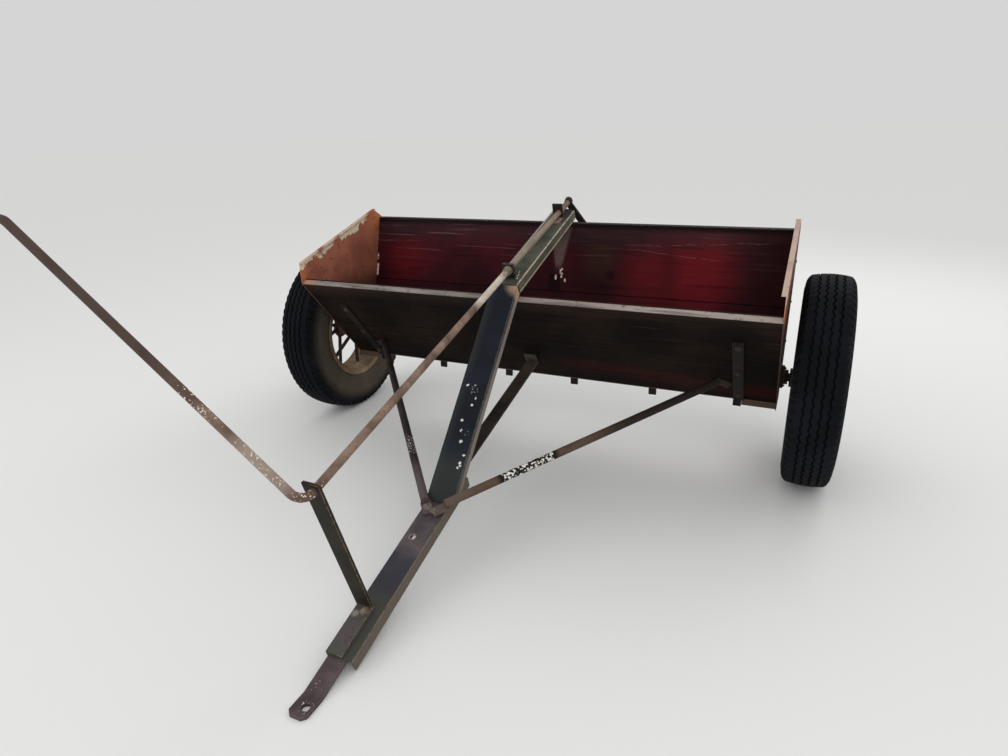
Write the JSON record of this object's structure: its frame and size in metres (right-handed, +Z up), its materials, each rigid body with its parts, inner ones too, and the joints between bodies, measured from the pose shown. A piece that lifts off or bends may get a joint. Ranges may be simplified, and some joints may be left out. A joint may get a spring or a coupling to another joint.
{
  "type": "two-wheeled towed lime spreader",
  "caption": "Towed drop spreader: a long V-shaped hopper between two rubber-tyred wheels, with a gooseneck drawbar and a control rod that slides the shutter under its floor.",
  "frame": {"origin": "hitch pin axis at ground level", "axes": "+Y back from the hitch to the axle, +Z up, +X to the right as seen from in front"},
  "size_m": [2.764, 2.481, 1.4161],
  "materials": {
    "board_wood": "dark, weathered and stained planks",
    "end_sheet": "rusty sheet with cream paint left along the top edge",
    "frame_steel": "weathered dark paint with rust and white chips",
    "rusty_steel": "plain brown rust",
    "strip_steel": "worn grey strip",
    "rim_steel": "dusty tan rim",
    "spoke_steel": "dark rusty rods",
    "tyre_rubber": "old black rubber"
  },
  "bodies": {
    "chassis": {"front_board_lower": "board_wood", "front_board_upper": "board_wood", "back_board_lower": "board_wood", "back_board_upper": "board_wood", "front_edge_strip": "strip_steel", "back_edge_strip": "frame_steel", "end_panel_left": "end_sheet", "end_panel_right": "end_sheet", "board_strap_left": "frame_steel", "board_strap_right": "frame_steel", "hopper_floor": "rusty_steel", "shutter_hangers": "rusty_steel", "gooseneck_upper": "frame_steel", "gooseneck_lower": "frame_steel", "drawbar": "frame_steel", "hitch_plate": "rusty_steel", "rod_bracket": "frame_steel", "front_rod_plate": "frame_steel", "rear_rod_plate": "frame_steel", "gooseneck_post": "frame_steel", "brace_left": "frame_steel", "brace_right": "frame_steel", "centre_strut": "frame_steel", "axle_bearing_left": "rusty_steel", "axle_bearing_right": "rusty_steel"},
    "control": {"control_rod": "rusty_steel", "rod_collars": "rusty_steel", "crank_arm": "frame_steel", "crank_pin": "rusty_steel"},
    "link": {"link_rod": "rusty_steel"},
    "shutter": {"shutter_plate": "rusty_steel", "shutter_lug": "rusty_steel"},
    "wheel_left": {"tyre_left": "tyre_rubber", "rim_left": "rim_steel", "spokes_left": "spoke_steel", "hub_left": "rusty_steel"},
    "wheel_right": {"tyre_right": "tyre_rubber", "rim_right": "rim_steel", "spokes_right": "spoke_steel", "hub_right": "rusty_steel", "axle_shaft": "rusty_steel", "agitator_fingers": "rusty_steel"}
  },
  "joints": [
    {"name": "rod_turn", "type": "hinge", "parent": "chassis", "child": "control", "pos_m": [-0.0061, 0.975, 0.84], "axis": [0.0117, 0.9678, 0.2514], "range_deg": [0, 20]},
    {"name": "link_swing", "type": "hinge", "parent": "control", "child": "link", "pos_m": [0.10174, 2.33032, 1.04683], "axis": [0.0117, 0.9678, 0.2514], "range_deg": [-17.2, 0]},
    {"name": "shutter_slide", "type": "slide", "parent": "chassis", "child": "shutter", "axis": [1, 0, 0], "range_m": [-0.0816, 0]},
    {"name": "wheel_left_spin", "type": "hinge", "parent": "chassis", "child": "wheel_left", "pos_m": [-1.28, 1.975, 0.468], "axis": [1, 0, 0], "continuous": true},
    {"name": "wheel_right_spin", "type": "hinge", "parent": "chassis", "child": "wheel_right", "pos_m": [1.28, 1.975, 0.468], "axis": [1, 0, 0], "continuous": true}
  ],
  "couplings": [
    {"joint": "link_swing", "follows": "rod_turn", "ratio": -0.8593},
    {"joint": "shutter_slide", "follows": "rod_turn", "m_per_rad": -0.2333}
  ]
}
